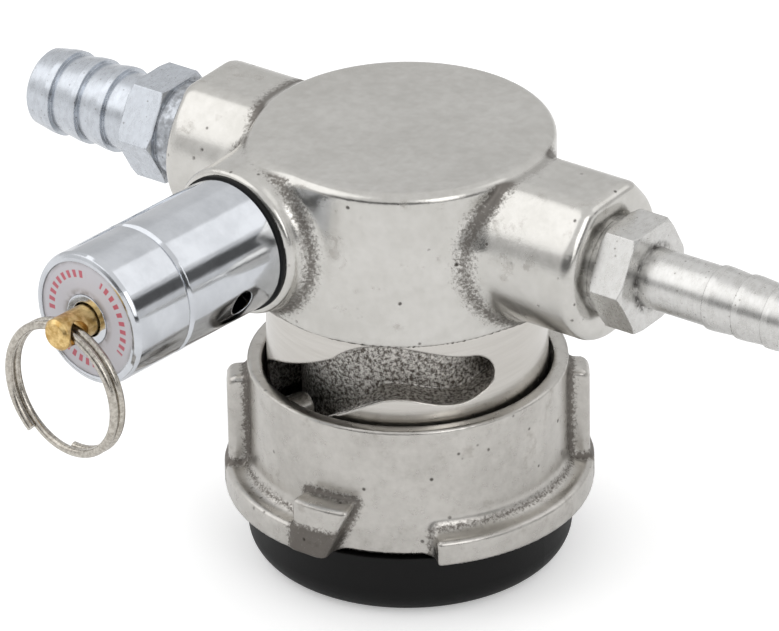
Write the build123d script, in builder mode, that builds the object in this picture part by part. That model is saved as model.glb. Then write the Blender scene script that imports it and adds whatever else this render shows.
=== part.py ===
from build123d import *
import math
import os

# Low-profile twist keg coupler. A lug ring locks onto the keg's neck; the head turns clockwise in it, and
# two cam slots on the head's sleeve ride on pins in the ring, which drives the probe down into the keg.
# Millimetres. Z is up, and the origin is the middle of the base cap's underside. +X is the gas nipple.

# ---- Lug ring
cap_height = 10.3            # floor to the underside of the ring
ring_r = 23.5
ring_wall = 2.2
ring_height = 20.5
flange_thick = 3.2           # inner flange at the ring's bottom
flange_bore_r = 16.6
spigot_r = 20.4              # short spigot that the base cap grips
spigot_depth = 4.0
lug_r = 27.2
ledge_height = 4.0
ledge_cove = 2.6             # cast hollow between the ledge and the wall
lug_start = -46.0            # degrees about Z: the square end of the first lug
lug_end = 106.6              # the block end of the first lug, at its top
lug_lean = 8.7               # degrees that the block's end face leans back towards its foot
block_arc = 20.1
block_height = 8.5
rib_angle = 36.0
rib_r = 26.6
rib_half_width = 2.7
rib_top_drop = 2.1           # from the ring's rim down to the rib's top
lug_edge = 1.0

# ---- Guide pins and cam slots
pin_angle = -108.7
pin_r = 2.2
pin_drop = 2.4               # from the ring's rim down to the pin's axis
pin_seat = 1.4               # depth of the pin's hole in the ring's wall
pin_reach = 3.4              # from the bore's wall to the pin's free end
slot_floor_r = 15.6
turn_angle = 48.7            # degrees clockwise from open to locked
lift_per_degree = 0.22       # drop of the head for each degree of turn
# the slot's edges: (share of the turn, distance beyond the room that the pin needs above or below its path)
roof_left = [(-0.68, 5.9), (-0.53, 6.4), (-0.22, 5.7), (0.34, 3.8), (0.6, 3.5)]
roof_right = [(0.5, 3.6), (0.88, 2.4), (1.05, 1.0), (1.38, -0.5), (1.69, -1.7)]
foot_left = [(-0.14, -0.9), (0.02, 0), (0.18, 0.12), (0.6, 0.17)]
foot_right = [(0.5, 0.17), (0.74, 0.5), (0.91, 1.05), (1.04, 1.7), (1.35, 2.8), (1.57, 3.2), (1.76, 2.2)]

# ---- Base cap
cap_r = 24.0
cap_floor = 2.0
cap_round = 4.2
seat_gap = 0.3               # between a piece that moves and its seat

# ---- Head and cam sleeve
head_r = 22.0
head_bottom = 45.2
head_height = 22.8
head_round = 1.4
sleeve_r = 20.6
sleeve_bottom = 24.8
core_r = 15.0
core_bottom = 15.8
gas_bore_r = 10.5
thread_r = 17.5              # spigot of the sleeve, screwed up into the head
thread_length = 4.0
mouth_r = 14.5               # countersunk mouth of the gas bore
post_r = 8.5                 # post in the head that holds the probe
post_length = 5.7
fit = 0.05                   # radial clearance between screwed or seated pieces
port_rise = 11.25            # from the head's underside up to the ports' axis
boss_r = 11.6
boss_flat = 5.0              # half width of the flat along the top of each boss
gas_boss_end = 36.5
beer_boss_end = 35.4
port_r = 6.5                 # outside of each nipple's screwed spigot
port_depth = 8.0
gas_drill_r = 3.0
beer_drill_r = 4.0
gas_drop_x = 11.0            # where the gas port turns down into the gas bore
relief_drop = 9.5            # where the relief drilling turns down into the gas bore
relief_drop_r = 2.2
facet_angle = 33.0           # degrees above level where a boss's round side turns into its sloping facet

# ---- Probe
probe_r = 6.0
probe_bore_r = 4.0
probe_bottom = 13.6
probe_rise = 6.8             # from the head's underside up to the probe's top
probe_nut_flats = 15.0
probe_nut_height = 3.6
o_ring_wire_r = 0.55
tip_seal_r = 8.4
tip_seal_height = 4.0
tip_lip = 1.2                # lip of the probe below the tip seal
tip_lip_r = 6.8
ball_r = 3.0
ball_travel = 4.0
ball_z = 20.0
ball_seat_r = 1.8

# ---- Keg seal
seal_r = 16.1
seal_lip = 2.1               # rubber below the core's bottom face
seal_break = 0.8
seal_foot_r = 12.5
seal_groove_r = 13.4
seal_groove_z = 1.8          # from the core's bottom up to the groove
seal_groove_height = 2.0

# ---- Nipples
hex_flats = 15.0
hex_trim = 0.75              # turned off the hexagon's corners at both ends
gas_hex_start = 37.5
gas_hex_length = 5.5
gas_stem_r = 4.45
gas_ridge_r = 4.75
gas_first_ridge = 54.1
gas_ridge_pitch = 4.9
gas_ridges = 4
beer_hex_start = 40.0
beer_hex_length = 6.0
beer_neck_r = 7.2
beer_stem_r = 5.9
beer_ridge_r = 6.5
beer_first_ridge = 50.6
beer_ridge_pitch = 4.85
beer_ridges = 3
ridge_land = 1.0
washer_r = 7.9
gas_washer_r = 7.2
washer_thick = 1.0
valve_disc_r = 5.2

# ---- Relief valve
relief_angle = -96.5         # degrees about Z
relief_offset = 9.76         # from the main axis, towards -X
collar_r = 11.2
collar_flare_r = 11.5
collar_end = 26.0            # distances along the relief valve start beside the main axis
gasket_thick = 0.6
relief_r = 10.0
relief_seam = 45.0
relief_end = 56.0
relief_spigot_r = 8.0
relief_spigot = 8.6
relief_chamber_r = 7.8
chamber_start = 29.0
orifice_r = 3.0
seat_r = 5.0
seat_lip = 1.5
poppet_r = 4.6
poppet_thick = 1.6
plate_r = 6.5
plate_thick = 1.4
stem_r = 2.35
stem_end = 62.4
relief_travel = 2.5
cap_end_wall = 2.5
cap_round_end = 0.8
cap_spigot = 4.0
cap_spigot_wall = 1.4
label_r = 8.7
label_thick = 0.35
vent_r = 2.0
vent_at = 34.4
vent_turn = 108.0            # degrees from straight up, towards +X
spring_wire_r = 0.45
spring_r = 5.1
spring_turns = 5.5
ring_hole_at = 59.8
ring_hole_r = 1.8
pull_wire_r = 0.65
pull_ring_r = 9.9
pull_pitch = 1.35
pull_shift = 1.0             # the ring hangs this far towards -X of the stem

# ---- Worked out from the sizes above
port_z = head_bottom + port_rise
probe_top = head_bottom + probe_rise
ring_top = cap_height + ring_height
bore_r = ring_r - ring_wall
ledge_top = cap_height + ledge_height
head_top = head_bottom + head_height
travel = turn_angle * lift_per_degree
pin_z = ring_top - pin_drop
end_gap = 0.2                # left at the foot of a screwed or seated joint
recess_top = head_bottom + thread_length + end_gap
post_bottom = recess_top - post_length
slot_room = pin_r * math.hypot(1, lift_per_degree / math.radians(sleeve_r)) + seat_gap

Z_UP = Vector(0, 0, 1)


def heading(degrees):
    """A level unit vector at an angle about Z from +X."""
    return Vector(math.cos(math.radians(degrees)), math.sin(math.radians(degrees)), 0)


def turning_plane(origin, along):
    """A plane whose x runs along a turned piece's axis and whose y is its radius."""
    side = Vector(0, 1, 0) if along.cross(Z_UP).length < 0.001 else along.cross(Z_UP)
    return Plane(origin=origin, x_dir=along, z_dir=side)


def cross_plane(origin, along):
    """A plane square to a level axis, with its y straight up."""
    return Plane(origin=origin, x_dir=Z_UP.cross(along), z_dir=along)


def turned(plane, points, mode=Mode.ADD):
    """Turn a closed outline of (distance along, radius) points about the plane's x axis."""
    with BuildSketch(plane) as outline:
        with BuildLine():
            Polyline(*points, close=True)
        make_face()
    revolve(outline.sketch, axis=Axis(plane.origin, plane.x_dir), mode=mode)


def torus_about(plane, along, radius, wire_r, mode=Mode.ADD):
    """Turn a round wire about the plane's x axis: an O-ring or its groove."""
    with BuildSketch(plane) as wire:
        with Locations((along, radius)):
            Circle(wire_r)
    revolve(wire.sketch, axis=Axis(plane.origin, plane.x_dir), mode=mode)


main = turning_plane((0, 0, 0), Z_UP)
gas = turning_plane((0, 0, port_z), Vector(1, 0, 0))
beer = turning_plane((0, 0, port_z), Vector(-1, 0, 0))
relief_dir = heading(relief_angle)
relief_side = Z_UP.cross(relief_dir)         # level, towards +X
relief_origin = Vector(0, 0, port_z) - relief_side * relief_offset
relief = turning_plane(relief_origin, relief_dir)


# ---- One bayonet lug, from its square end at +X: a ledge with a cast hollow over it, a block and a rib
lug_root = bore_r + ring_wall / 2
lug_arc = lug_end - lug_start
block_top = cap_height + block_height
with BuildPart() as lug:
    with BuildSketch(Plane.XZ):
        with BuildLine():
            wall_foot = (ring_r, ledge_top + ledge_cove)
            Line((lug_root, cap_height), (lug_r, cap_height))
            Line((lug_r, cap_height), (lug_r, ledge_top - lug_edge))
            RadiusArc((lug_r, ledge_top - lug_edge), (lug_r - lug_edge, ledge_top), -lug_edge)
            Line((lug_r - lug_edge, ledge_top), (ring_r + ledge_cove, ledge_top))
            RadiusArc((ring_r + ledge_cove, ledge_top), wall_foot, ledge_cove)
            Line(wall_foot, (lug_root, ledge_top + ledge_cove))
            Line((lug_root, ledge_top + ledge_cove), (lug_root, cap_height))
        make_face()
    revolve(axis=Axis.Z, revolution_arc=lug_arc)
    with BuildSketch(Plane.XZ.rotated((0, 0, lug_arc - block_arc))):
        with BuildLine():
            Line((lug_root, cap_height), (lug_r, cap_height))
            Line((lug_r, cap_height), (lug_r, block_top - lug_edge))
            RadiusArc((lug_r, block_top - lug_edge), (lug_r - lug_edge, block_top), -lug_edge)
            Line((lug_r - lug_edge, block_top), (lug_root, block_top))
            Line((lug_root, block_top), (lug_root, cap_height))
        make_face()
    revolve(axis=Axis.Z, revolution_arc=block_arc)
    # the block's end face leans back towards its foot
    lean_out = heading(lug_arc - lug_lean / 2)
    lean_run = lug_r * math.radians(lug_lean)
    lean_middle = lean_out * lug_r + Z_UP * (cap_height + block_height / 2)
    lean_face = Plane(
        origin=lean_middle,
        x_dir=lean_out,
        z_dir=Z_UP.cross(lean_out) * block_height - Z_UP * lean_run,
    )
    with Locations(lean_face):
        Box(4 * ring_wall + 2 * lug_edge, 3 * block_height, block_height,
            align=(Align.CENTER, Align.CENTER, Align.MIN), mode=Mode.SUBTRACT)
    with BuildSketch(Plane.XZ.rotated((0, 0, rib_angle - lug_start))):
        with BuildLine():
            rib_top = ring_top - rib_top_drop
            Line((lug_root, cap_height), (lug_r, cap_height))
            Line((lug_r, cap_height), (lug_r, ledge_top + lug_edge))
            Line((lug_r, ledge_top + lug_edge), (rib_r, ledge_top + 2 * lug_edge))
            Line((rib_r, ledge_top + 2 * lug_edge), (rib_r, rib_top - lug_edge))
            RadiusArc((rib_r, rib_top - lug_edge), (rib_r - lug_edge, rib_top), -lug_edge)
            Line((rib_r - lug_edge, rib_top), (lug_root, rib_top))
            Line((lug_root, rib_top), (lug_root, cap_height))
        make_face()
    extrude(amount=rib_half_width, both=True)


# ---- Lug ring: cast, bored inside, with an inner flange and a short spigot below for the base cap
rim_break = 0.4
bore_break = 0.8
with BuildPart() as lug_ring:
    turned(main, [
        (cap_height - spigot_depth, flange_bore_r),
        (cap_height - spigot_depth, spigot_r),
        (cap_height, spigot_r),
        (cap_height, ring_r),
        (ring_top - rim_break, ring_r),
        (ring_top, ring_r - rim_break),
        (ring_top, bore_r + bore_break),
        (ring_top - bore_break, bore_r),
        (cap_height + flange_thick, bore_r),
        (cap_height + flange_thick, flange_bore_r),
    ])
    with PolarLocations(0, 2, start_angle=lug_start):
        add(lug.part)
    with PolarLocations(0, 2, start_angle=pin_angle):
        with Locations(Location((bore_r - pin_r, 0, pin_z), (0, 90, 0))):
            Cylinder(pin_r + fit, pin_r + pin_seat,
                     align=(Align.CENTER, Align.CENTER, Align.MIN), mode=Mode.SUBTRACT)
lug_ring.part.label = "lug_ring"


# ---- Guide pins: pressed into blind holes in the ring's wall, with rounded free ends
with BuildPart() as guide_pins:
    with PolarLocations(0, 2, start_angle=pin_angle):
        with Locations(Location((bore_r - pin_reach, 0, pin_z), (0, 90, 0))):
            Cylinder(pin_r, pin_reach + pin_seat - fit, align=(Align.CENTER, Align.CENTER, Align.MIN))
    free_ends = guide_pins.edges().filter_by(GeomType.CIRCLE).sort_by(
        lambda edge: math.hypot(edge.arc_center.X, edge.arc_center.Y))[:2]
    fillet(free_ends, pin_r / 3)
guide_pins.part.label = "guide_pins"


# ---- Base cap: a rubber cap pushed over the ring's spigot, which covers the seal and the probe
with BuildPart() as base_cap:
    turned(main, [
        (0, 0),
        (0, cap_r),
        (cap_height - seat_gap, cap_r),
        (cap_height - seat_gap, spigot_r + seat_gap),
        (cap_floor, spigot_r + seat_gap),
        (cap_floor, 0),
    ])
    fillet(base_cap.edges().group_by(Axis.Z)[0], cap_round)
base_cap.part.label = "base_cap"


# ---- Bosses of the head casting: round below, flat along the top, with rounded ends
facet = Vector(boss_r * math.cos(math.radians(facet_angle)), boss_r * math.sin(math.radians(facet_angle)))
boss_rise = head_top - port_z
with BuildPart() as port_bar:
    with BuildSketch(cross_plane((-beer_boss_end, 0, port_z), Vector(1, 0, 0))):
        with BuildLine():
            Line((boss_flat, boss_rise), (-boss_flat, boss_rise))
            Line((-boss_flat, boss_rise), (-facet.X, facet.Y))
            ThreePointArc((-facet.X, facet.Y), (0, -boss_r), (facet.X, facet.Y))
            Line((facet.X, facet.Y), (boss_flat, boss_rise))
        make_face()
    extrude(amount=beer_boss_end + gas_boss_end)
    fillet(port_bar.faces().sort_by(Axis.X)[0].edges(), head_round)
    fillet(port_bar.faces().sort_by(Axis.X)[-1].edges(), head_round)


# ---- Head casting: a thick disc with the two port bosses, the relief valve's collar and the drillings
gas_foot = gas_boss_end - port_depth - end_gap
beer_foot = beer_boss_end - port_depth - end_gap
relief_start = collar_end + gasket_thick - relief_spigot
with BuildPart() as head_casting:
    with BuildSketch(Plane.XZ):
        with BuildLine():
            Line((0, head_bottom), (head_r, head_bottom))
            Line((head_r, head_bottom), (head_r, head_top - head_round))
            RadiusArc((head_r, head_top - head_round), (head_r - head_round, head_top), -head_round)
            Line((head_r - head_round, head_top), (0, head_top))
            Line((0, head_top), (0, head_bottom))
        make_face()
    revolve(axis=Axis.Z)
    add(port_bar.part)
    turned(relief, [
        (0, 0),
        (0, collar_flare_r),
        (collar_end - head_round, collar_r),
        (collar_end - head_round / 3, collar_r - head_round / 3),
        (collar_end, collar_r - head_round),
        (collar_end, 0),
    ])
    with Locations((0, 0, head_bottom)):
        Box(4 * head_r, 4 * head_r, boss_r, align=(Align.CENTER, Align.CENTER, Align.MAX), mode=Mode.SUBTRACT)
    # recess for the sleeve, with the post that holds the probe
    turned(main, [
        (head_bottom - 1, 0),
        (head_bottom - 1, thread_r + fit),
        (recess_top, thread_r + fit),
        (recess_top, 0),
    ], mode=Mode.SUBTRACT)
    turned(main, [
        (post_bottom, probe_r + fit),
        (post_bottom, post_r),
        (recess_top + 1, post_r),
        (recess_top + 1, probe_r + fit),
    ])
    turned(main, [
        (post_bottom - 1, 0),
        (post_bottom - 1, probe_r + fit),
        (probe_top + end_gap, probe_r + fit),
        (probe_top + end_gap, beer_drill_r),
        (port_z, beer_drill_r),
        (port_z, 0),
    ], mode=Mode.SUBTRACT)
    # beer port: level drilling that meets the one above the probe
    turned(beer, [
        (-beer_drill_r, 0),
        (-beer_drill_r, beer_drill_r),
        (beer_foot, beer_drill_r),
        (beer_foot, port_r + fit),
        (beer_boss_end + 1, port_r + fit),
        (beer_boss_end + 1, 0),
    ], mode=Mode.SUBTRACT)
    # gas port: level drilling, then down into the mouth of the sleeve's gas bore
    turned(gas, [
        (gas_drop_x - gas_drill_r, 0),
        (gas_drop_x - gas_drill_r, gas_drill_r),
        (gas_foot, gas_drill_r),
        (gas_foot, port_r + fit),
        (gas_boss_end + 1, port_r + fit),
        (gas_boss_end + 1, 0),
    ], mode=Mode.SUBTRACT)
    with Locations((gas_drop_x, 0, recess_top - 1)):
        Cylinder(gas_drill_r, port_z - recess_top + 1,
                 align=(Align.CENTER, Align.CENTER, Align.MIN), mode=Mode.SUBTRACT)
    # relief port
    turned(relief, [
        (relief_drop - relief_drop_r, 0),
        (relief_drop - relief_drop_r, orifice_r),
        (relief_start - end_gap, orifice_r),
        (relief_start - end_gap, relief_spigot_r + fit),
        (collar_end + 1, relief_spigot_r + fit),
        (collar_end + 1, 0),
    ], mode=Mode.SUBTRACT)
    drop_at = relief_origin + relief_dir * relief_drop
    with Locations((drop_at.X, drop_at.Y, recess_top - 1)):
        Cylinder(relief_drop_r, port_z - recess_top + 1,
                 align=(Align.CENTER, Align.CENTER, Align.MIN), mode=Mode.SUBTRACT)
head_casting.part.label = "head_casting"


# ---- Cam slots: cut square to the sleeve from two sides each, so that their walls stand near upright
def slot_point(share, offset):
    """A slot edge's (angle, height) at a share of the turn, measured up or down from the pin's path."""
    climb = travel * min(share, 1)
    return pin_angle + turn_angle * share, pin_z + climb + offset


def slot_cutter(facing, roof_points, foot_points, left_points, right_points):
    """Cut one side of a slot down to its floor: smooth upper and lower edges, joined at both ends."""
    def flat(points):
        return [(sleeve_r * math.sin(math.radians(angle - facing)), height) for angle, height in points]

    with BuildPart() as cutter:
        with BuildSketch(cross_plane((0, 0, 0), heading(facing))):
            with BuildLine():
                roof = Spline(*flat(roof_points))
                foot = Spline(*flat(foot_points))
                Polyline(roof @ 0, *flat(left_points), foot @ 0)
                Spline(roof @ 1, *flat(right_points), foot @ 1)
            make_face()
        extrude(amount=sleeve_r + 1)
        with Locations((0, 0, head_bottom)):
            Cylinder(slot_floor_r, 2 * head_bottom, mode=Mode.SUBTRACT)
    return cutter.part


def slot_roof(points):
    """Turn a table of the roof into (angle, height) pairs."""
    return [slot_point(share, slot_room + beyond) for share, beyond in points]


def slot_foot(points):
    """Turn a table of the foot into (angle, height) pairs."""
    return [slot_point(share, -slot_room - beyond) for share, beyond in points]


# The left part holds the pin's rest place and the open mouth below, the right part the run and the pocket.
below = sleeve_bottom - 1
mouth_left, mouth_right = roof_left[0][0], foot_left[0][0]
left_cut = slot_cutter(
    pin_angle,
    slot_roof(roof_left),
    slot_foot(foot_left),
    [(pin_angle + turn_angle * mouth_left, below), (pin_angle + turn_angle * mouth_right, below)],
    [slot_point(0.62, 0)])
right_cut = slot_cutter(
    pin_angle + 1.2 * turn_angle,
    slot_roof(roof_right),
    slot_foot(foot_right),
    [slot_point(0.48, 0)],
    [slot_point(1.84, slot_room - 3.4), slot_point(1.885, 0.2 - slot_room)])


# ---- Cam sleeve: screwed up into the head; the cam slots outside, the gas bore inside, the core below
o_ring_z = head_bottom + 1.3
with BuildPart() as cam_sleeve:
    turned(main, [
        (core_bottom, gas_bore_r),
        (core_bottom, core_r),
        (sleeve_bottom, core_r),
        (sleeve_bottom, sleeve_r),
        (head_bottom, sleeve_r),
        (head_bottom, thread_r),
        (head_bottom + thread_length, thread_r),
        (head_bottom + thread_length, mouth_r),
        (head_bottom, gas_bore_r),
    ])
    turned(main, [
        (core_bottom + seal_groove_z, seal_groove_r),
        (core_bottom + seal_groove_z, core_r + 1),
        (core_bottom + seal_groove_z + seal_groove_height, core_r + 1),
        (core_bottom + seal_groove_z + seal_groove_height, seal_groove_r),
    ], mode=Mode.SUBTRACT)
    turned(main, [
        (o_ring_z - o_ring_wire_r, thread_r - 2 * o_ring_wire_r),
        (o_ring_z - o_ring_wire_r, thread_r + 1),
        (o_ring_z + o_ring_wire_r, thread_r + 1),
        (o_ring_z + o_ring_wire_r, thread_r - 2 * o_ring_wire_r),
    ], mode=Mode.SUBTRACT)
    with PolarLocations(0, 2):
        add(left_cut, mode=Mode.SUBTRACT)
        add(right_cut, mode=Mode.SUBTRACT)
cam_sleeve.part.label = "cam_sleeve"


# ---- Seals and small turned pieces of the head and probe
with BuildPart() as sleeve_o_ring:
    torus_about(main, o_ring_z, thread_r + fit / 2 - o_ring_wire_r, o_ring_wire_r)
sleeve_o_ring.part.label = "sleeve_o_ring"

# a rubber ring wrapped round the core's foot: it stays still on the keg's valve while the head turns
seal_gap = 0.1
groove_foot = core_bottom + seal_groove_z
groove_head = groove_foot + seal_groove_height
with BuildPart() as keg_seal:
    turned(main, [
        (core_bottom - seal_lip, seal_foot_r),
        (core_bottom - seal_lip, seal_r - seal_break),
        (core_bottom - seal_lip + seal_break, seal_r),
        (groove_head - seal_gap, seal_r),
        (groove_head - seal_gap, seal_groove_r + seal_gap),
        (groove_foot + seal_gap, seal_groove_r + seal_gap),
        (groove_foot + seal_gap, core_r + seal_gap),
        (core_bottom - seal_gap, core_r + seal_gap),
        (core_bottom - seal_gap, seal_foot_r),
    ])
keg_seal.part.label = "keg_seal"


# ---- Probe: a steel tube screwed into the head's post, with a rubber tip and a ball check inside
o_ring_up = 3.0              # from the post's foot up to the probe's O-ring
seat_top = ball_z + probe_bore_r - (ball_r + fit) * math.sqrt(2)
seat_foot = ball_z + ball_seat_r - (ball_r + fit) * math.sqrt(2)
tip_round = 0.4
with BuildPart() as probe_tube:
    turned(main, [
        (probe_bottom, ball_seat_r),
        (probe_bottom, tip_lip_r - tip_round),
        (probe_bottom + tip_round, tip_lip_r),
        (probe_bottom + tip_lip, tip_lip_r),
        (probe_bottom + tip_lip, probe_r),
        (post_bottom + o_ring_up - o_ring_wire_r, probe_r),
        (post_bottom + o_ring_up - o_ring_wire_r, probe_r - 2 * o_ring_wire_r + fit),
        (post_bottom + o_ring_up + o_ring_wire_r, probe_r - 2 * o_ring_wire_r + fit),
        (post_bottom + o_ring_up + o_ring_wire_r, probe_r),
        (probe_top, probe_r),
        (probe_top, probe_bore_r),
        (seat_top, probe_bore_r),
        (seat_foot, ball_seat_r),
    ])
probe_tube.part.label = "probe_tube"

with BuildPart() as probe_o_ring:
    torus_about(main, post_bottom + o_ring_up, probe_r + fit - o_ring_wire_r, o_ring_wire_r)
probe_o_ring.part.label = "probe_o_ring"

with BuildPart() as probe_nut:
    with BuildSketch(Plane.XY.offset(post_bottom - fit - probe_nut_height)):
        RegularPolygon(probe_nut_flats / 2, 6, major_radius=False)
        Circle(probe_r + fit, mode=Mode.SUBTRACT)
    extrude(amount=probe_nut_height)
probe_nut.part.label = "probe_nut"

tip_seal_foot = probe_bottom + tip_lip + fit
with BuildPart() as probe_seal:
    turned(main, [
        (tip_seal_foot, probe_r + fit),
        (tip_seal_foot, tip_seal_r - tip_round),
        (tip_seal_foot + tip_round, tip_seal_r),
        (tip_seal_foot + tip_seal_height / 2, tip_seal_r),
        (tip_seal_foot + tip_seal_height, probe_r + 1),
        (tip_seal_foot + tip_seal_height, probe_r + fit),
    ])
probe_seal.part.label = "probe_seal"

with BuildPart() as check_ball:
    with Locations((0, 0, ball_z)):
        Sphere(ball_r)
check_ball.part.label = "check_ball"

# a notched ring pressed in the tube's bore: it stops the ball and lets the beer round it
cage_foot = ball_z + ball_r + ball_travel + end_gap
cage_thick = 1.2
with BuildPart() as ball_cage:
    turned(main, [
        (cage_foot, ball_r * 0.75),
        (cage_foot, probe_bore_r - fit),
        (cage_foot + cage_thick, probe_bore_r - fit),
        (cage_foot + cage_thick, ball_r * 0.75),
    ])
    with PolarLocations(ball_r * 0.85, 3):
        with Locations((0, 0, cage_foot)):
            Cylinder(0.8, 3 * cage_thick, mode=Mode.SUBTRACT)
ball_cage.part.label = "ball_cage"


# ---- Hose nipples: a screwed spigot, a hexagon and a ridged stem
def hexagon(start, length, direction):
    """A hexagon bar along a port, flat side up, with its corners turned off at both ends."""
    corner_r = hex_flats / math.sqrt(3)
    with BuildPart() as nut:
        with BuildSketch(cross_plane(Vector(0, 0, port_z) + direction * start, direction)):
            RegularPolygon(hex_flats / 2, 6, major_radius=False)
        extrude(amount=length)
        turned(turning_plane((0, 0, port_z), direction), [
            (start, 0),
            (start, corner_r - hex_trim),
            (start + hex_trim * 0.6, corner_r),
            (start + length - hex_trim * 0.6, corner_r),
            (start + length, corner_r - hex_trim),
            (start + length, 0),
        ], mode=Mode.INTERSECT)
    return nut.part


def ridges(first, pitch, count, stem_r, ridge_r):
    """Outline of a ridged stem: each ridge has a square shoulder, a short land and a long taper."""
    outline = []
    for number in range(count):
        shoulder = first + number * pitch
        outline += [(shoulder, stem_r), (shoulder, ridge_r), (shoulder + ridge_land, ridge_r)]
    tip = first + count * pitch
    return outline + [(tip - 0.5, stem_r), (tip, stem_r - 0.5)]


gas_tip = gas_first_ridge + gas_ridges * gas_ridge_pitch
beer_tip = beer_first_ridge + beer_ridges * beer_ridge_pitch
valve_pocket = 2.2           # recess in the gas nipple's foot for the rubber valve
gas_hex = hexagon(gas_hex_start, gas_hex_length, Vector(1, 0, 0))
beer_hex = hexagon(beer_hex_start, beer_hex_length, Vector(-1, 0, 0))
with BuildPart() as gas_nipple:
    add(gas_hex)
    turned(gas, [
        (gas_foot + end_gap, gas_drill_r),
        (gas_foot + end_gap, port_r),
        (gas_hex_start + 1, port_r),
        (gas_hex_start + 1, gas_stem_r),
        *ridges(gas_first_ridge, gas_ridge_pitch, gas_ridges, gas_stem_r, gas_ridge_r),
        (gas_tip, gas_drill_r),
    ])
    turned(gas, [
        (gas_foot, 0),
        (gas_foot, valve_disc_r + fit),
        (gas_foot + end_gap + valve_pocket, valve_disc_r + fit),
        (gas_foot + end_gap + valve_pocket, gas_drill_r),
        (gas_tip + 1, gas_drill_r),
        (gas_tip + 1, 0),
    ], mode=Mode.SUBTRACT)
gas_nipple.part.label = "gas_nipple"

with BuildPart() as beer_nipple:
    add(beer_hex)
    turned(beer, [
        (beer_foot + end_gap, beer_drill_r),
        (beer_foot + end_gap, port_r),
        (beer_boss_end + washer_thick, port_r),
        (beer_boss_end + washer_thick, beer_neck_r),
        (beer_hex_start + 1, beer_neck_r),
        (beer_hex_start + 1, beer_stem_r),
        *ridges(beer_first_ridge, beer_ridge_pitch, beer_ridges, beer_stem_r, beer_ridge_r),
        (beer_tip, beer_drill_r),
    ])
    turned(beer, [
        (beer_foot, 0),
        (beer_foot, beer_drill_r),
        (beer_tip + 1, beer_drill_r),
        (beer_tip + 1, 0),
    ], mode=Mode.SUBTRACT)
beer_nipple.part.label = "beer_nipple"

with BuildPart() as gas_nipple_washer:
    turned(gas, [
        (gas_boss_end, port_r + fit),
        (gas_boss_end, gas_washer_r),
        (gas_hex_start, gas_washer_r),
        (gas_hex_start, port_r + fit),
    ])
gas_nipple_washer.part.label = "gas_nipple_washer"

with BuildPart() as beer_nipple_washer:
    turned(beer, [
        (beer_boss_end, port_r + fit),
        (beer_boss_end, washer_r),
        (beer_boss_end + washer_thick, washer_r),
        (beer_boss_end + washer_thick, port_r + fit),
    ])
beer_nipple_washer.part.label = "beer_nipple_washer"

# a moulded rubber bill in the gas nipple's foot: it opens towards the keg and shuts against beer
bill_length = 4.0
bill_root_r = gas_drill_r - 0.4
with BuildPart() as gas_check_valve:
    turned(gas, [
        (gas_foot + end_gap + valve_pocket - fit, bill_root_r - 0.6),
        (gas_foot + end_gap + valve_pocket - fit, valve_disc_r),
        (gas_foot + end_gap, valve_disc_r),
        (gas_foot + end_gap, bill_root_r),
        (gas_foot - bill_length, 1.0),
        (gas_foot - bill_length, 0.3),
        (gas_foot + end_gap, bill_root_r - 0.6),
    ])
gas_check_valve.part.label = "gas_check_valve"


# ---- Relief valve: body screwed into the collar, brass seat, sprung poppet and stem, cap and label
thin_edge = 0.5
with BuildPart() as relief_gasket:
    turned(relief, [
        (collar_end, relief_spigot_r + fit),
        (collar_end, relief_r + 0.3),
        (collar_end + gasket_thick, relief_r + 0.3),
        (collar_end + gasket_thick, relief_spigot_r + fit),
    ])
relief_gasket.part.label = "relief_gasket"

seat_pocket = 2.0
vent_dir = Z_UP * math.cos(math.radians(vent_turn)) + relief_side * math.sin(math.radians(vent_turn))
with BuildPart() as relief_body:
    turned(relief, [
        (relief_start, orifice_r),
        (relief_start, relief_spigot_r),
        (collar_end + gasket_thick, relief_spigot_r),
        (collar_end + gasket_thick, relief_r),
        (relief_seam - thin_edge, relief_r),
        (relief_seam, relief_r - thin_edge),
        (relief_seam, relief_chamber_r),
        (chamber_start, relief_chamber_r),
        (chamber_start, seat_r + fit),
        (chamber_start - seat_pocket, seat_r + fit),
        (chamber_start - seat_pocket, orifice_r),
    ])
    with Locations(Plane(origin=relief_origin + relief_dir * vent_at, x_dir=relief_dir, z_dir=vent_dir)):
        Cylinder(vent_r, 2 * relief_r, align=(Align.CENTER, Align.CENTER, Align.MIN), mode=Mode.SUBTRACT)
relief_body.part.label = "relief_body"

lip_top = chamber_start + seat_lip
with BuildPart() as relief_seat:
    turned(relief, [
        (chamber_start - seat_pocket + fit, orifice_r - 0.5),
        (chamber_start - seat_pocket + fit, seat_r),
        (chamber_start + 0.3, seat_r),
        (lip_top, orifice_r + 0.3),
        (lip_top, orifice_r - 0.5),
    ])
relief_seat.part.label = "relief_seat"

poppet_start = lip_top + seal_gap
plate_start = poppet_start + poppet_thick
with BuildPart() as relief_poppet:
    turned(relief, [
        (poppet_start, 0),
        (poppet_start, poppet_r),
        (plate_start, poppet_r),
        (plate_start, 0),
    ])
relief_poppet.part.label = "relief_poppet"

with BuildPart() as relief_stem:
    turned(relief, [
        (plate_start, 0),
        (plate_start, plate_r),
        (plate_start + plate_thick, plate_r),
        (plate_start + plate_thick, stem_r),
        (stem_end - thin_edge, stem_r),
        (stem_end, stem_r - thin_edge),
        (stem_end, 0),
    ])
    with Locations(Plane(origin=relief_origin + relief_dir * ring_hole_at, z_dir=relief_side)):
        Cylinder(ring_hole_r, 4 * stem_r, mode=Mode.SUBTRACT)
relief_stem.part.label = "relief_stem"

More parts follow.
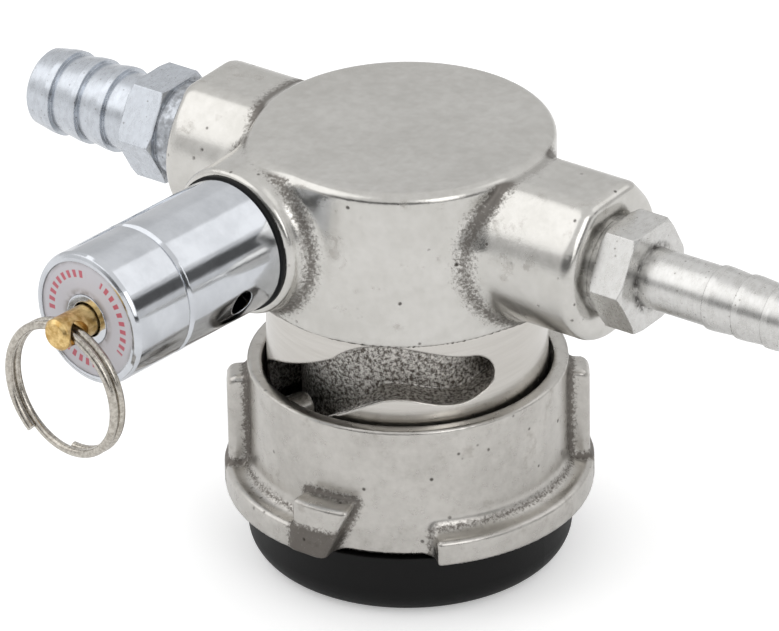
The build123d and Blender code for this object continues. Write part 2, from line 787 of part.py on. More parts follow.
spring_start = plate_start + plate_thick + seat_gap + spring_wire_r
spring_stop = relief_end - cap_end_wall - seat_gap - spring_wire_r
spring_base = relief_origin + relief_dir * spring_start
with BuildPart() as relief_spring:
    with BuildLine() as coil:
        Helix(pitch=(spring_stop - spring_start) / spring_turns, height=spring_stop - spring_start,
              radius=spring_r, center=spring_base, direction=relief_dir)
    with BuildSketch(Plane(origin=coil.line @ 0, z_dir=coil.line % 0)):
        Circle(spring_wire_r)
    sweep(path=coil.line, is_frenet=True)
relief_spring.part.label = "relief_spring"

cap_wall_r = relief_chamber_r - cap_spigot_wall
label_bed = relief_end - label_thick - 0.15
stem_hole_r = stem_r + 0.3
boss_rim = 1.1
with BuildPart() as relief_cap:
    turned(relief, [
        (relief_seam - cap_spigot, cap_wall_r),
        (relief_seam - cap_spigot, relief_chamber_r - fit),
        (relief_seam, relief_chamber_r - fit),
        (relief_seam, relief_r - thin_edge),
        (relief_seam + thin_edge, relief_r),
        (relief_end - cap_round_end, relief_r),
        (relief_end - 0.3 * cap_round_end, relief_r - 0.3 * cap_round_end),
        (relief_end, relief_r - cap_round_end),
        (relief_end, label_r + fit),
        (label_bed, label_r + fit),
        (label_bed, stem_hole_r + boss_rim),
        (relief_end, stem_hole_r + boss_rim),
        (relief_end, stem_hole_r),
        (relief_end - cap_end_wall, stem_hole_r),
        (relief_end - cap_end_wall, cap_wall_r),
    ])
relief_cap.part.label = "relief_cap"

with BuildPart() as relief_label:
    turned(relief, [
        (label_bed, stem_hole_r + boss_rim + fit),
        (label_bed, label_r),
        (label_bed + label_thick, label_r),
        (label_bed + label_thick, stem_hole_r + boss_rim + fit),
    ])
relief_label.part.label = "relief_label"


# ---- Pull ring: a split ring of two close turns, hung through the hole in the stem
ring_turns = 1.9
hang = math.sqrt(pull_ring_r ** 2 - pull_shift ** 2) - 0.13
ring_height_along = ring_turns * pull_pitch
ring_centre = relief_origin + relief_dir * ring_hole_at - relief_side * pull_shift - Z_UP * hang
with BuildPart() as pull_ring:
    with BuildLine() as loop:
        Helix(pitch=pull_pitch, height=ring_height_along, radius=pull_ring_r)
    ring_foot = ring_centre - relief_dir * (ring_height_along / 2)
    ring_path = Plane(origin=ring_foot, x_dir=-Z_UP, z_dir=relief_dir).from_local_coords(loop.line)
    with BuildSketch(Plane(origin=ring_path @ 0, z_dir=ring_path % 0)):
        Circle(pull_wire_r)
    sweep(path=ring_path, is_frenet=True)
pull_ring.part.label = "pull_ring"


# ---- Write every piece
os.makedirs("parts", exist_ok=True)
for piece in (
    lug_ring, guide_pins, base_cap, keg_seal, head_casting, cam_sleeve, sleeve_o_ring, probe_tube,
    probe_o_ring, probe_nut, probe_seal, check_ball, ball_cage, gas_nipple, beer_nipple,
    gas_nipple_washer, beer_nipple_washer, gas_check_valve, relief_gasket, relief_body, relief_seat,
    relief_poppet, relief_stem, relief_spring, relief_cap, relief_label, pull_ring,
):
    export_step(piece.part, f"parts/{piece.part.label}.step")
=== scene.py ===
import math
import bpy
import numpy as np
from mathutils import Matrix, Vector


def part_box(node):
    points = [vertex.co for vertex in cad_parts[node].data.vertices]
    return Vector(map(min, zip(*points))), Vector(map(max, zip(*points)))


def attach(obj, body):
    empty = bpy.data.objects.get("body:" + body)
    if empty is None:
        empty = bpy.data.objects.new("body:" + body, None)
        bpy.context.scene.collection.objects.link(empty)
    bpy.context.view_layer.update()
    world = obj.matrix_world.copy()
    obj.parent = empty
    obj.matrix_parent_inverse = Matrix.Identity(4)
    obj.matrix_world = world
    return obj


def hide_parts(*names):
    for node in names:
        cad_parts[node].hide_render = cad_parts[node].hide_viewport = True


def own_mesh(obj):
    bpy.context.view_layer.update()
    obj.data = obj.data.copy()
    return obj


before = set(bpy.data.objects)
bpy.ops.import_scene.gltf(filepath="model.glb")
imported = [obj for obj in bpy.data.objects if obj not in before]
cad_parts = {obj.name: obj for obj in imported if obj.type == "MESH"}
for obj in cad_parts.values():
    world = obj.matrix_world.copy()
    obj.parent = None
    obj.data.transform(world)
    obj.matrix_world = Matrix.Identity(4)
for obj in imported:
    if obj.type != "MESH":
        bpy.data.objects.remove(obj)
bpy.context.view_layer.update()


# ---- Camera: a long lens, above the gas side, looking down on the front of the coupler
camera_azimuth, camera_elevation, camera_roll = np.radians([35.81, 29.01, 1.01])
camera_target = np.array([0, 0, 0.0308])
camera_distance = 1.0385
camera_lens, sensor_width = 328.3, 36
shift_x, shift_y = -0.0234, 0.0486
towards_camera = np.array([
    math.sin(camera_azimuth) * math.cos(camera_elevation),
    -math.cos(camera_azimuth) * math.cos(camera_elevation),
    math.sin(camera_elevation),
])
level_right = np.array([math.cos(camera_azimuth), math.sin(camera_azimuth), 0])
level_up = np.cross(towards_camera, level_right)
camera_right = level_right * math.cos(camera_roll) - level_up * math.sin(camera_roll)
camera_up = level_up * math.cos(camera_roll) + level_right * math.sin(camera_roll)
camera_data = bpy.data.cameras.new("camera")
camera_data.lens, camera_data.sensor_width = camera_lens, sensor_width
camera_data.shift_x, camera_data.shift_y = shift_x, shift_y
camera_data.clip_start, camera_data.clip_end = 0.01, 20
camera = bpy.data.objects.new("camera", camera_data)
camera_place = camera_target + towards_camera * camera_distance
camera.matrix_world = Matrix([
    [camera_right[i], camera_up[i], towards_camera[i], camera_place[i]] for i in range(3)
] + [[0, 0, 0, 1]])
bpy.context.scene.collection.objects.link(camera)
bpy.context.scene.camera = camera
bpy.context.scene.view_settings.view_transform = "Standard"


# ---- Studio: a pale floor, two softboxes and a white tent with a few darker panels.
# The panels give plated metal something to reflect besides white.
class Shade:
    """A socket in a shader tree. Operators on it add Math nodes, and add() puts in any other node."""

    def __init__(self, tree, socket=None):
        self.tree, self.socket = tree, socket

    def add(self, kind, settings=None, out=0, **sockets):
        """Add a node: its type, its settings, then its sockets by name, or by number as s0, s1."""
        node = self.tree.nodes.new("ShaderNode" + kind)
        for name, value in (settings or {}).items():
            setattr(node, name, value)
        for name, value in sockets.items():
            numbered = name[0] == "s" and name[1:].isdigit()
            socket = node.inputs[int(name[1:]) if numbered else name.replace("_", " ")]
            if isinstance(value, Shade):
                self.tree.links.new(value.socket, socket)
            else:
                socket.default_value = value
        return Shade(self.tree, node.outputs[out])

    def math(self, operation, first, second=0.0):
        """A Math node on two values, each a number or a Shade."""
        return self.add("Math", {"operation": operation}, s0=first, s1=second)

    def __add__(self, other):
        return self.math("ADD", self, other)

    def __radd__(self, other):
        return self.math("ADD", other, self)

    def __sub__(self, other):
        return self.math("SUBTRACT", self, other)

    def __rsub__(self, other):
        return self.math("SUBTRACT", other, self)

    def __mul__(self, other):
        return self.math("MULTIPLY", self, other)

    def __rmul__(self, other):
        return self.math("MULTIPLY", other, self)

    def __pow__(self, other):
        return self.math("POWER", self, other)

    def unsigned(self):
        """The value without its sign."""
        return self.math("ABSOLUTE", self)

    def rise(self, start, end):
        """A smooth step from 0 at start to 1 at end; start above end makes it fall."""
        return self.add("MapRange", {"interpolation_type": "SMOOTHSTEP"},
                        Value=self, From_Min=start, From_Max=end)

    def colour(self, low, high):
        """The colour low where this value is 0, and high where it is 1."""
        return self.add("Mix", {"data_type": "RGBA"}, out=2, s0=self, s6=low, s7=high)


def srgb(red, green, blue):
    """A colour written as 0 to 255, as a shader takes it: each channel / 255 to the power 2.2."""
    return tuple((channel / 255) ** 2.2 for channel in (red, green, blue)) + (1,)


world = bpy.data.worlds.new("studio")
bpy.context.scene.world = world
world.use_nodes = True
tent = Shade(world.node_tree)
looking = tent.add("TexCoord", out="Generated")
tent_x, tent_y, tent_z = (tent.add("SeparateXYZ", out=axis, s0=looking) for axis in range(3))
# the tent's parts: a grey wall at the back, a dark gap behind the camera, a bright panel overhead at the
# back right, and a narrow dark stand beside it
panel_way, stand_way = (0.42, 0.6, 0.68), (0.80, 0.53, 0.28)
wall_darker, panel_light, gap_darker, stand_darker = 0.13, 1.25, 0.9, 0.85
front = (tent_x * towards_camera[0] + tent_y * towards_camera[1]).rise(0.2, 0.6)
gap = tent_z.rise(0.45, 0.3) * tent_z.rise(-0.05, 0.05) * front
wall = tent_y.rise(0.1, 0.5) * tent_z.rise(0.62, 0.5)
panel = (tent_x * panel_way[0] + tent_y * panel_way[1] + tent_z * panel_way[2]).rise(0.93, 0.955)
stand = (tent_x * stand_way[0] + tent_y * stand_way[1] + tent_z * stand_way[2]).rise(0.985, 0.995)
tent_light = 0.86 - wall * wall_darker
tent_light = tent_light + panel * (panel_light - tent_light)
tent_light = tent_light * (1 - gap * gap_darker) * (1 - stand * stand_darker)
seen = tent.add("LightPath", out="Is Camera Ray")
background = world.node_tree.nodes["Background"]
world.node_tree.links.new((tent_light * (1 - seen) + seen).socket, background.inputs["Color"])


def softbox(name, place, size, watts):
    """A square area lamp at a place, turned to face the coupler."""
    data = bpy.data.lights.new(name, "AREA")
    data.shape, data.size, data.energy = "RECTANGLE", size[0], watts
    data.size_y = size[1]
    lamp = bpy.data.objects.new(name, data)
    aim = Vector(place) - Vector((0, 0, 0.04))
    lamp.matrix_world = Matrix.Translation(place) @ aim.to_track_quat("Z", "Y").to_matrix().to_4x4()
    bpy.context.scene.collection.objects.link(lamp)


softbox("key_light", (-0.75, -0.55, 1.0), (1.4, 1.2), 3.6)
softbox("fill_light", (0.95, -0.45, 0.6), (0.5, 0.8), 2.0)

floor_half, floor_glow, floor_glow_in_metal = 4, 0.34, 0.3
floor_mesh = bpy.data.meshes.new("floor")
floor_mesh.from_pydata([(x * floor_half, y * floor_half, 0) for x, y in ((-1, -1), (1, -1), (1, 1), (-1, 1))],
                       [], [(0, 1, 2, 3)])
floor = bpy.data.objects.new("floor", floor_mesh)
bpy.context.scene.collection.objects.link(floor)
floor_paint = bpy.data.materials.new("floor_paint")
floor_paint.use_nodes = True
floor_shader = floor_paint.node_tree.nodes["Principled BSDF"]
for socket, value in {"Base Color": (0.9, 0.9, 0.9, 1), "Roughness": 0.9, "Emission Strength": 1.0}.items():
    floor_shader.inputs[socket].default_value = value
ray = Shade(floor_paint.node_tree)
camera_ray, metal_ray, glass_ray = (
    ray.add("LightPath", out=kind) for kind in ("Is Camera Ray", "Is Glossy Ray", "Is Transmission Ray"))
glow = (camera_ray + metal_ray * floor_glow_in_metal + glass_ray) * floor_glow
floor_paint.node_tree.links.new(glow.socket, floor_shader.inputs["Emission Color"])
floor_mesh.materials.append(floor_paint)


# ---- Head casting: brass or steel cast in one piece with its two port bosses and the relief valve's
# collar, ground flat on top, tumbled and nickel plated. The plating follows the cast skin's small pits.
class Finish(Shade):
    """A material, its Principled shader, and a place on the surface in millimetres."""

    def __init__(self, name, **constants):
        self.material = bpy.data.materials.new(name)
        self.material.use_nodes = True
        super().__init__(self.material.node_tree)
        self.shader = self.tree.nodes["Principled BSDF"]
        for socket, value in constants.items():
            self.shader.inputs[socket.replace("_", " ")].default_value = value
        here = self.add("TexCoord", out="Object")
        self.place = self.add("VectorMath", {"operation": "SCALE"}, s0=here, Scale=1000.0)
        self.x, self.y, self.z = (self.add("SeparateXYZ", out=axis, s0=self.place) for axis in range(3))

    def feed(self, **sockets):
        for name, value in sockets.items():
            self.tree.links.new(value.socket, self.shader.inputs[name.replace("_", " ")])

    def noise(self, size, detail=2.0, rough=0.5, stretch=None):
        """Cloudy noise, 0 to 1, whose lumps are about size millimetres, drawn out by stretch."""
        place = self.place
        if stretch:
            place = self.add("VectorMath", {"operation": "MULTIPLY"}, s0=place, s1=stretch)
        return self.add("TexNoise", Vector=place, Scale=1 / size, Detail=detail, Roughness=rough)

    def pits(self, spacing, depth):
        """Round pits about spacing millimetres apart: 1 in a pit's middle, 0 past depth of its radius."""
        cells = self.add("TexVoronoi", Vector=self.place, Scale=1 / spacing, Randomness=1.0)
        return cells.rise(depth, depth * 0.35)

    def bump(self, height, millimetres, edge=0.0):
        """Feed a height of 0 to 1 to the normal, with edges that look rounded by edge millimetres."""
        sockets = {"Height": height, "Distance": millimetres / 1000, "Strength": 1.0}
        if edge:
            sockets["Normal"] = self.add("Bevel", {"samples": 6}, Radius=edge / 1000)
        self.feed(Normal=self.add("Bump", **sockets))


def plated_casting(name, low, high, polish):
    """Nickel on a cast skin, from colour low to high: satin, pitted, and darkened in its hollows by sooty
    grit and painted shade.
    """
    cast = Finish(name, Metallic=1.0)
    cloud = cast.noise(9.0, 3.0)
    grain = cast.noise(0.35, 2.0)
    fine = cast.noise(1.6, 4.0, 0.6)
    pits = cast.pits(2.4, 0.17) * cast.noise(5.0).rise(0.5, 0.6)
    stain = cast.noise(4.0, 5.0, 0.7).rise(0.56, 0.72)
    hollow = cast.add("Attribute", {"attribute_name": "hollow"}, out="Fac")
    # the cast hollows are darkened partly as painted shade, where shadow falls in them, and partly as sooty
    # grit from the noise
    soot_and_hollow_shade = (hollow * 0.75 + cast.noise(0.45, 3.0, 0.75) * 0.9 - 0.5).rise(0.18, 0.5)
    ground = cast.z.rise(67.3, 67.7)
    rough = 1 - ground
    tone = (cloud * 0.5 + fine * 0.5).rise(0.25, 0.75)
    colour = tone.colour(low, high)
    colour = (stain * rough * 0.3).colour(colour, srgb(128, 120, 110))
    colour = (soot_and_hollow_shade * rough * 0.75).colour(colour, srgb(70, 62, 55))
    colour = (pits * rough * 0.8).colour(colour, srgb(60, 55, 50))
    cast.feed(
        Base_Color=colour,
        Roughness=polish + fine * 0.14 + (stain * 0.1 + soot_and_hollow_shade * 0.25 + pits * 0.3) * rough)
    cast.bump((grain * 0.3 + fine * 0.4) * (0.2 + rough * 0.6) - (pits * 0.8 + soot_and_hollow_shade * 0.4) * rough, 0.03)
    return cast.material


def round_join(first, second, radius):
    """Distance to two solids joined with a hollow of this radius: max(radius, the lesser distance), less
    the length of what each distance lacks of the radius."""
    return np.maximum(radius, np.minimum(first, second)) - np.hypot(
        np.maximum(radius - first, 0), np.maximum(radius - second, 0))


def round_cut(first, second, radius):
    """Distance to what two solids share, its edge rounded: min(-radius, the greater distance), plus the
    length of how far each distance is past -radius."""
    return np.minimum(-radius, np.maximum(first, second)) + np.hypot(
        np.maximum(radius + first, 0), np.maximum(radius + second, 0))


def skin(name, distance, closeness, low, high, cell):
    """Mesh a solid given by its distance formula, in millimetres: one vertex in each grid cell that the
    surface crosses, at the mean of the crossings on the cell's edges, then moved along the gradient onto
    the surface; one face round each grid edge that the surface crosses. The attribute "hollow" keeps how
    near each vertex is to the bottom of a cast hollow, from 0 to 1."""
    axes = [np.arange(low[axis], high[axis] + cell, cell) for axis in range(3)]
    grid = np.stack(np.meshgrid(*axes, indexing="ij"), axis=-1)
    value = distance(*np.moveaxis(grid, -1, 0))
    inside = value < 0
    cells = tuple(count - 1 for count in value.shape)
    total, crossings = np.zeros(cells + (3,)), np.zeros(cells)
    quads = []
    part = lambda array, axis, start, stop: array[(slice(None),) * axis + (slice(start, stop),)]
    for axis in range(3):
        near, far = part(value, axis, None, -1), part(value, axis, 1, None)
        crossed = (near < 0) != (far < 0)
        share = np.where(crossed, near / np.where(crossed, near - far, 1), 0)
        place = part(grid, axis, None, -1) * crossed[..., None]
        place[..., axis] += share * cell
        side_a, side_b = [other for other in range(3) if other != axis]
        for step_a in (0, 1):
            for step_b in (0, 1):
                ends = [slice(None)] * 3
                ends[side_a] = slice(step_a, step_a + cells[side_a])
                ends[side_b] = slice(step_b, step_b + cells[side_b])
                total += place[tuple(ends)]
                crossings += crossed[tuple(ends)]
        found = np.argwhere(crossed)
        inner = np.ones(len(found), bool)
        for side in (side_a, side_b):
            inner &= (found[:, side] > 0) & (found[:, side] < cells[side])
        found = found[inner]
        step = np.zeros((4, 3), int)
        step[[0, 1], side_a] = step[[0, 3], side_b] = -1
        flip = part(inside, axis, None, -1)[tuple(found.T)] ^ (axis == 1)
        around = found[:, None, :] + step[None]
        around[~flip] = around[~flip][:, ::-1]
        quads.append(around.reshape(-1, 3))
    held = crossings > 0
    number = np.full(cells, -1)
    number[held] = np.arange(held.sum())
    points = total[held] / crossings[held][:, None]
    faces = number[tuple(np.concatenate(quads).T)].reshape(-1, 4)
    small = 0.02
    for _ in range(3):
        here = distance(*points.T)
        slope = np.stack([
            (distance(*(points + small * step).T) - distance(*(points - small * step).T)) / (2 * small)
            for step in np.eye(3)], axis=-1)
        reach = here / np.maximum((slope ** 2).sum(-1), 0.2)
        points = points - slope * np.clip(reach, -cell / 2, cell / 2)[:, None]
    piece = surface(name, points / 1000, faces)
    hollow = piece.data.attributes.new("hollow", "FLOAT", "POINT")
    hollow.data.foreach_set("value", closeness(*points.T).astype(np.float32))
    return piece


def surface(name, points, faces):
    """Put points in metres and faces of equal corner counts into a smooth mesh object at the origin."""
    mesh = bpy.data.meshes.new(name)
    mesh.vertices.add(len(points))
    mesh.vertices.foreach_set("co", np.ascontiguousarray(points, dtype=np.float32).ravel())
    mesh.loops.add(faces.size)
    mesh.loops.foreach_set("vertex_index", np.ascontiguousarray(faces, dtype=np.int32).ravel())
    mesh.polygons.add(len(faces))
    mesh.polygons.foreach_set("loop_start", np.arange(0, faces.size, faces.shape[1], dtype=np.int32))
    mesh.polygons.foreach_set("use_smooth", np.ones(len(faces), dtype=bool))
    mesh.update(calc_edges=True)
    mesh.validate()
    piece = bpy.data.objects.new(name, mesh)
    bpy.context.scene.collection.objects.link(piece)
    return piece


head_low, head_high = (np.array(corner) * 1000 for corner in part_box("head_casting"))
head_top, head_bottom = head_high[2], head_low[2]
head_r, port_z, boss_r, boss_slope, boss_round = 22.0, 56.45, 11.6, math.radians(42), 1.8
collar_end, collar_round, head_round, foot_round = 26.0, 0.9, 1.4, 0.35
relief_angle = math.radians(-96.5)
relief_dir = np.array([math.cos(relief_angle), math.sin(relief_angle), 0])
relief_side = np.array([-relief_dir[1], relief_dir[0], 0])
relief_offset = 9.76
relief_origin = np.array([0, 0, port_z]) - relief_offset * relief_side


def along_relief(x, y, z):
    """Distance along the relief valve's axis, and distance from that axis."""
    along = (x - relief_origin[0]) * relief_dir[0] + (y - relief_origin[1]) * relief_dir[1]
    aside = (x - relief_origin[0]) * relief_side[0] + (y - relief_origin[1]) * relief_side[1]
    return along, np.hypot(aside, z - port_z)


def head_masses(x, y, z):
    """Distances to the three masses of the casting: a disc, a bar that is round below and slopes up to a
    flat above, and a tapered collar."""
    disc = np.hypot(x, y) - head_r
    across, rise = np.abs(y), z - port_z
    slant, fall = math.cos(boss_slope), math.sin(boss_slope)
    bar = np.where(rise * slant > across * fall,
                   across * slant + rise * fall, np.hypot(across, rise)) - boss_r
    bar = round_cut(bar, z - np.where(x < 0, head_top - 0.4, head_top - 0.12), 1.6)
    bar = round_cut(bar, np.maximum(x - head_high[0], head_low[0] - x), boss_round)
    along, radius = along_relief(x, y, z)
    collar = radius - np.interp(along, [0, 18, 24.6, collar_end], [12.2, 11.6, 11.2, 11.2])
    return disc, bar, round_cut(np.maximum(collar, -along), along - collar_end, collar_round)


def head_distance(x, y, z):
    """The masses joined with cast hollows that fade out towards the top, then cut level at both ends."""
    disc, bar, collar = head_masses(x, y, z)
    body = round_join(round_join(disc, bar, np.interp(z, [59.0, 66.6], [3.4, 0.5])), collar, 3.0)
    return round_cut(round_cut(body, z - head_top, head_round), head_bottom - z, foot_round)


def head_hollows(x, y, z):
    """1 where a point is as near to two masses as to one, falling to 0 at 4 mm from the second nearest."""
    nearest = np.sort(np.stack(head_masses(x, y, z)), axis=0)
    return np.clip(1 - nearest[1] / 4.0, 0, 1) ** 1.5


head_casting = skin("head_casting_skin", head_distance, head_hollows, head_low - 1, head_high + 1, 0.5)
head_casting.data.materials.append(
    plated_casting("plated_casting", srgb(194, 192, 187), srgb(212, 210, 206), 0.16))
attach(head_casting, "head")
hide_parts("head_casting")


# ---- Lug ring: cast and plated like the head, bored inside and faced on its rim. Two bayonet lugs run round
# its foot, each a ledge with a hollow over it, a stop block at its end, and an upright rib.
ring_low, ring_high = (np.array(corner) * 1000 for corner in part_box("lug_ring"))
ring_r, bore_r, ring_foot, flange_top = 23.5, 21.3, 10.3, 13.5
flange_r, spigot_r, spigot_top, mouth_r = 22.0, 20.4, 12.0, 16.6
lug_r, ledge_top, block_top = 27.2, 14.3, 18.8
lug_middle, lug_half, block_length, end_slope = 30.3, 76.3, 20.1, 8.7
rib_r, rib_at, rib_half, rib_drop = 26.6, 5.7, 2.7, 2.1


def lug_masses(x, y, z):
    """Distances to the wall's outside, the ledge, and the block or rib. The lugs repeat each half turn, and
    their ends are planes through the axis, at an angle from the lug's middle, measured along the arc."""
    radius = np.hypot(x, y)
    turn = (np.degrees(np.arctan2(y, x)) - lug_middle + 90) % 180 - 90
    arc = np.radians(1.0) * np.maximum(radius, 5)
    last = lug_half - end_slope * np.clip((block_top - z) / (block_top - ring_foot), 0, 1)
    end = (turn - last) * arc * 0.9
    ledge = round_cut(radius - lug_r, z - ledge_top, 0.7)
    ledge = round_cut(ledge, np.maximum((-lug_half - turn) * arc, end), 0.5)
    block = round_cut(radius - lug_r, z - block_top, 0.8)
    block = round_cut(block, np.maximum((lug_half - block_length - turn) * arc, end), 0.7)
    rib = round_cut(radius - rib_r, z - (ring_high[2] - rib_drop), 1.5)
    rib = round_cut(rib, np.abs(turn - rib_at) * arc - rib_half, 0.9)
    return radius - ring_r, ledge, np.minimum(block, rib)


def ring_distance(x, y, z):
    """The lugs joined to the wall with cast hollows, bored through, with a flange and a spigot inside its
    foot."""
    wall, ledge, upright = lug_masses(x, y, z)
    radius = np.hypot(x, y)
    outside = round_join(round_join(wall, ledge, 2.3), upright, 0.9)
    outside = round_cut(outside, ring_foot - z, 0.5)
    flange = np.maximum(radius - flange_r, z - flange_top)
    flange = np.maximum(flange, ring_foot - z)
    spigot = np.maximum(np.maximum(radius - spigot_r, ring_low[2] - z), z - spigot_top)
    wall = round_cut(round_cut(outside, z - ring_high[2], 0.3), bore_r - radius, 0.45)
    return np.minimum(wall, np.maximum(np.minimum(flange, spigot), mouth_r - radius))


def lug_hollows(x, y, z):
    """1 where a point is as near to two masses as to one, falling to 0 at 2.5 mm from the second nearest."""
    nearest = np.sort(np.stack(lug_masses(x, y, z)), axis=0)
    return np.clip(1 - nearest[1] / 2.5, 0, 1) ** 1.5


lug_ring = skin("lug_ring_skin", ring_distance, lug_hollows, ring_low - 1, ring_high + 1, 0.45)
# the ring's plating is the head's, given darker colours as painted shade
lug_ring.data.materials.append(
    plated_casting("shaded_ring_casting", srgb(178, 175, 170), srgb(204, 201, 196), 0.22))
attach(lug_ring, "lug_ring")
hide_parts("lug_ring")


# ---- Cam sleeve: turned from a casting and plated, with two cast cam slots left rough inside. It is screwed
# up into the head, and only its finish is set here.
def assign(finish, *nodes):
    """Put a finish on CAD nodes."""
    for node in nodes:
        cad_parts[node].data.materials.clear()
        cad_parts[node].data.materials.append(finish.material)


sleeve_r = 20.6
sleeve = Finish("cast_sleeve", Metallic=1.0)
radius = (sleeve.x * sleeve.x + sleeve.y * sleeve.y) ** 0.5
in_slot = radius.rise(sleeve_r - 0.3, sleeve_r - 0.6)
slot_grit_and_shade = sleeve.noise(0.5, 4.0, 0.7)
rings = sleeve.noise(0.4, 2.0, 0.5, (0.05, 0.05, 1.0))
# inside the cam slots the colour is painted darker as shade, broken up by rough grit; outside are the turning
# rings
sleeve.feed(
    Base_Color=in_slot.colour(
        rings.colour(srgb(190, 186, 180), srgb(214, 211, 206)),
        slot_grit_and_shade.rise(0.38, 0.62).colour(srgb(96, 90, 84), srgb(226, 223, 218))),
    Roughness=in_slot * (0.2 + slot_grit_and_shade * 0.3) + (1 - in_slot) * (0.16 + rings * 0.14))
sleeve.bump(in_slot * slot_grit_and_shade + (1 - in_slot) * rings * 0.06, 0.2, 0.5)
assign(sleeve, "cam_sleeve")


# ---- Guide pins, probe and check ball: plain stainless steel, turned, with the faint rings of the tool.
# The pins are pressed into the lug ring, and the probe is held in the head by its nut.
steel = Finish("steel", Metallic=1.0)
turning = steel.noise(0.5, 2.0, 0.5, (0.3, 0.3, 1.0))
steel.feed(
    Base_Color=turning.rise(0.3, 0.7).colour(srgb(176, 174, 170), srgb(206, 204, 200)),
    Roughness=0.18 + turning * 0.14)
steel.bump(turning, 0.01, 0.25)
assign(steel, "guide_pins", "probe_tube", "probe_nut", "check_ball")


# ---- Ball cage: clear plastic, snapped into the foot of the probe
cage = Finish("clear_plastic", Roughness=0.3)
assign(cage, "ball_cage")


# ---- Hose nipples: turned from bar and plated, each drawn down on a washer by its hexagon. The gas one is
# nickel and the beer one a bluer zinc. Painted shade and soot darken the hexagon's root and behind its
# washer.
def nipple_finish(name, low, high, hex_start, hex_end, stem_r):
    """Turned and plated metal from colour low to high. The turned ends of the hexagon catch the light,
    painted shade and grime darken where the hexagon meets the stem and the washer, and grime lies in a few
    small pits."""
    metal = Finish(name, Metallic=1.0)
    out = metal.x.unsigned()
    radius = (metal.y * metal.y + (metal.z - port_z) ** 2) ** 0.5
    satin = metal.noise(0.6, 3.0, 0.6, (1.0, 0.4, 0.4))
    cloud = metal.noise(1.3, 5.0, 0.7)
    speck = metal.pits(1.3, 0.15)
    # root and seam are the corners where the hexagon meets the stem and the washer; their darkening is
    # painted shade, broken up by grime noise
    root = out.rise(hex_end + 1.5, hex_end + 0.1) * radius.rise(stem_r + 1.3, stem_r + 0.3)
    seam = out.rise(hex_start + 0.5, hex_start - 0.1)
    grime_and_shade = (root + seam * 0.6) * cloud.rise(0.35, 0.65)
    tone = (satin * 0.5 + cloud * 0.5).rise(0.3, 0.7)
    colour = (speck * 0.6).colour(tone.colour(low, high), srgb(110, 106, 100))
    metal.feed(
        Base_Color=(grime_and_shade * 0.85).colour(colour, srgb(58, 53, 48)),
        Roughness=0.2 + satin * 0.08 + cloud * 0.08 + grime_and_shade * 0.3)
    metal.bump(cloud * 0.3 - speck * 0.5 - grime_and_shade * 0.5, 0.012, 0.2)
    return metal


# each hexagon starts and ends this far past its washer
gas_hex, beer_hex = (0.0, 5.5), (3.6, 9.6)
gas_washer_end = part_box("gas_nipple_washer")[1][0] * 1000
beer_washer_end = -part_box("beer_nipple_washer")[0][0] * 1000
gas_metal = nipple_finish("nipple_metal", srgb(196, 195, 192), srgb(218, 217, 215),
                          gas_washer_end + gas_hex[0], gas_washer_end + gas_hex[1], 4.45)
beer_metal = nipple_finish("zinc_plate", srgb(186, 190, 196), srgb(208, 213, 220),
                           beer_washer_end + beer_hex[0], beer_washer_end + beer_hex[1], 5.9)
assign(gas_metal, "gas_nipple", "gas_nipple_washer")
assign(beer_metal, "beer_nipple", "beer_nipple_washer")


# ---- Relief valve's body and cap: chromed brass tubes, screwed together, the body screwed into the head's
# collar. The chrome is hazed, with fine scratches.
chrome = Finish("chrome", Metallic=1.0)
haze = chrome.noise(5.0, 4.0, 0.6)
scratch = chrome.noise(0.25, 3.0, 0.6, (1.0, 0.06, 1.0))
chrome.feed(
    Base_Color=haze.rise(0.3, 0.7).colour(srgb(196, 199, 204), srgb(210, 213, 218)),
    Roughness=0.05 + haze * 0.08 + scratch.rise(0.6, 0.75) * 0.08)
chrome.bump(scratch * 0.5 + haze * 0.5, 0.008, 0.25)
assign(chrome, "relief_body", "relief_cap")


# ---- Relief valve's face label: a printed plastic disc round the stem, with a plain ring of red dashes,
# dirty round its edge and near the stem
dashes_r, dash_half, dash_count = 6.9, 0.56, 34
label = Finish("white_label", Specular_IOR_Level=0.6)
aside = label.add("VectorMath", {"operation": "DOT_PRODUCT"}, out=1, s0=label.place,
                  s1=tuple(relief_side)) + relief_offset
above = label.z - port_z
angle = label.math("ARCTAN2", above, aside)
from_axis = (aside * aside + above * above) ** 0.5
dashes = label.math("SINE", angle * dash_count).rise(-0.2, 0.1)
band = (from_axis - dashes_r).unsigned().rise(dash_half + 0.06, dash_half - 0.06)
broken = label.math("SINE", angle * 3.0 + 0.6).rise(-0.85, -0.75)
smudge = label.noise(2.0, 4.0, 0.6)
rim_dirt = from_axis.rise(8.0, 8.7) * smudge.rise(0.3, 0.7)
centre_dirt = from_axis.rise(5.0, 3.8) * smudge.rise(0.35, 0.6)
paper = (rim_dirt * 0.35 + centre_dirt * 0.6).colour(srgb(206, 204, 210), srgb(110, 98, 86))
label.feed(
    Base_Color=(dashes * band * broken * 0.85).colour(paper, srgb(196, 58, 80)),
    Roughness=0.3 + smudge * 0.2)
label.bump(smudge, 0.01)
assign(label, "relief_label")


# ---- Relief valve's stem and seat: turned brass, a little tarnished. The stem slides through the cap.
brass = Finish("brass", Metallic=1.0)
tarnish = brass.noise(1.2, 4.0, 0.65)
brass.feed(
    Base_Color=tarnish.rise(0.35, 0.65).colour(srgb(186, 150, 90), srgb(236, 206, 146)),
    Roughness=0.2 + tarnish * 0.25)
brass.bump(tarnish, 0.03, 0.25)
assign(brass, "relief_stem", "relief_seat")
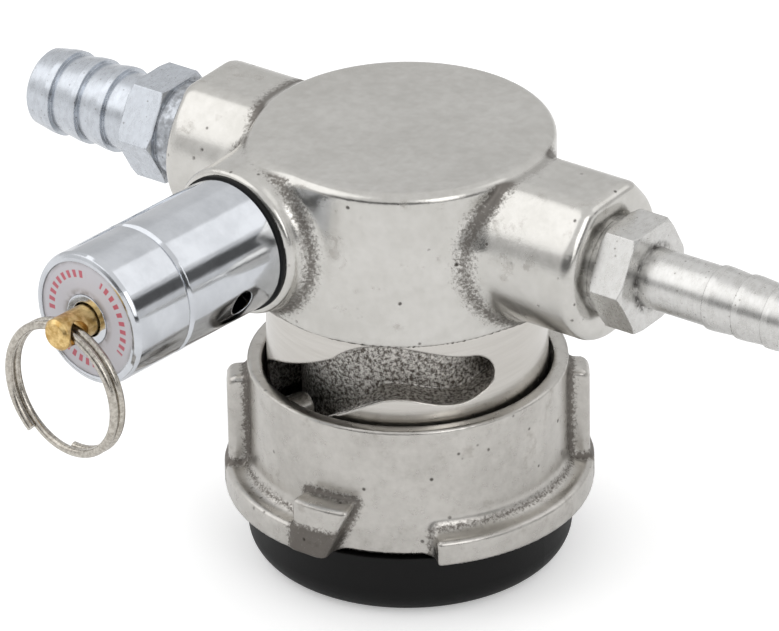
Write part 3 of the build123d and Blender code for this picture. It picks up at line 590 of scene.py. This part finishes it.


# ---- Relief valve's spring: round steel wire between the stem's plate and the cap. It is made again here, with a
# mesh of its own.
coil_from, coil_to, coil_turns, coil_r, coil_wire_r = 34.35, 52.75, 5.5, 5.1, 0.45
coil_steps, coil_sides = 220, 10
along = np.linspace(0, 1, coil_steps)[:, None]
sweep = 2 * math.pi * coil_turns * along
outward = np.cos(sweep) * relief_side + np.sin(sweep) * np.array([0, 0, 1.0])
middle = relief_origin + (coil_from + (coil_to - coil_from) * along) * relief_dir + coil_r * outward
about = 2 * math.pi * np.arange(coil_sides) / coil_sides
coil = (middle[:, None] + coil_wire_r * (np.cos(about)[:, None] * outward[:, None]
        + np.sin(about)[:, None] * relief_dir)).reshape(-1, 3)
step, side = np.meshgrid(np.arange(coil_steps - 1), np.arange(coil_sides), indexing="ij")
corner, beside = step * coil_sides + side, step * coil_sides + (side + 1) % coil_sides
coil_faces = np.stack([corner, corner + coil_sides, beside + coil_sides, beside], axis=-1).reshape(-1, 4)
spring = surface("relief_spring_coil", coil / 1000, coil_faces)
spring.data.materials.append(steel.material)
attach(spring, "head")
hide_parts("relief_spring")
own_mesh(spring)


# ---- Pull ring: a split ring of hard steel wire, threaded through the stem
wire = Finish("ring_steel", Metallic=1.0)
draw = wire.noise(0.5, 3.0, 0.6)
wire.feed(
    Base_Color=draw.rise(0.3, 0.7).colour(srgb(164, 158, 149), srgb(204, 199, 190)),
    Roughness=0.16 + draw * 0.16)
wire.bump(draw, 0.01)
assign(wire, "pull_ring")


# ---- Base cap and seals: black rubber, moulded, dull, with a little dust. The cap is pushed over the ring's
# spigot, and the seals sit in their grooves.
rubber = Finish("black_rubber", Specular_IOR_Level=0.25)
grain = rubber.noise(0.3, 3.0, 0.6)
dust = rubber.noise(6.0, 5.0, 0.7)
rubber.feed(
    Base_Color=dust.rise(0.5, 0.8).colour(srgb(6, 6, 7), srgb(14, 14, 15)),
    Roughness=0.38 + grain * 0.1 + dust * 0.14)
rubber.bump(grain * 0.6 + dust * 0.4, 0.02, 0.3)
assign(rubber, "base_cap", "keg_seal", "probe_seal", "sleeve_o_ring", "probe_o_ring", "gas_check_valve",
       "relief_gasket", "relief_poppet")
